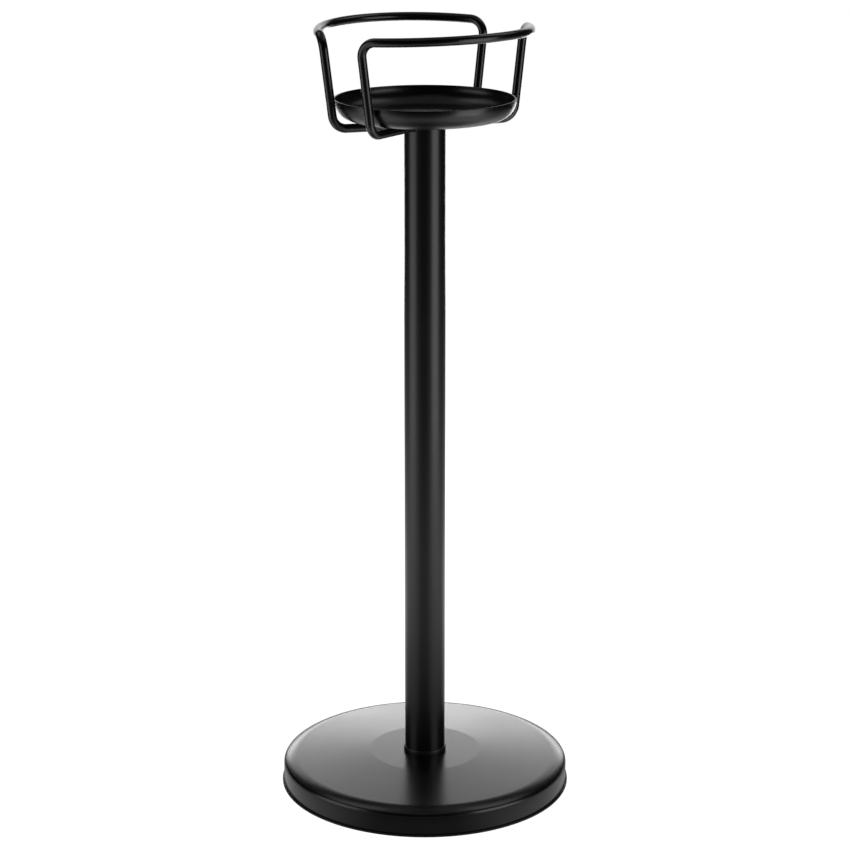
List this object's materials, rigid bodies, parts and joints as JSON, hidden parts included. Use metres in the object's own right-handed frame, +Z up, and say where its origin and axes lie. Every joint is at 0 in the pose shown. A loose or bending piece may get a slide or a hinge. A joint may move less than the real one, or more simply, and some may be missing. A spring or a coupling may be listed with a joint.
{
  "type": "wine cooler stand",
  "caption": "Floor stand for a wine cooler: heavy round base, tubular pole, and a shallow dish ringed by bent wire bails that hold the bucket.",
  "frame": {"origin": "centre of the base where it meets the floor", "axes": "+Z up the pole; the bails face -Y (front) and +Y (rear)"},
  "size_m": [0.2748, 0.2748, 0.7246],
  "materials": {
    "base_paint": "satin black powder coat, slightly glossy",
    "pole_paint": "satin black powder coat",
    "wire_paint": "satin black powder coat",
    "dish_paint": "satin black powder coat",
    "rubber": "matt moulded",
    "collar_plastic": "satin moulded",
    "cast_iron": "as cast, primed",
    "plug_steel": "turned",
    "zinc_plate": "zinc plated",
    "spring_steel": "oiled spring steel",
    "black_screw": "black oxide"
  },
  "bodies": {
    "root": {"floor_ring": "rubber", "base_weight": "cast_iron", "base_cover": "base_paint", "base_bolt": "zinc_plate", "base_spring_washer": "spring_steel", "base_washer": "zinc_plate", "foot_collar": "collar_plastic", "pole_tube": "pole_paint", "lower_plug": "plug_steel", "upper_plug": "plug_steel", "rear_bail": "wire_paint", "front_bail": "wire_paint", "bail_welds": "wire_paint", "dish_gasket": "rubber", "dish": "dish_paint", "dish_spring_washer": "spring_steel", "dish_screw": "black_screw"}
  },
  "joints": []
}
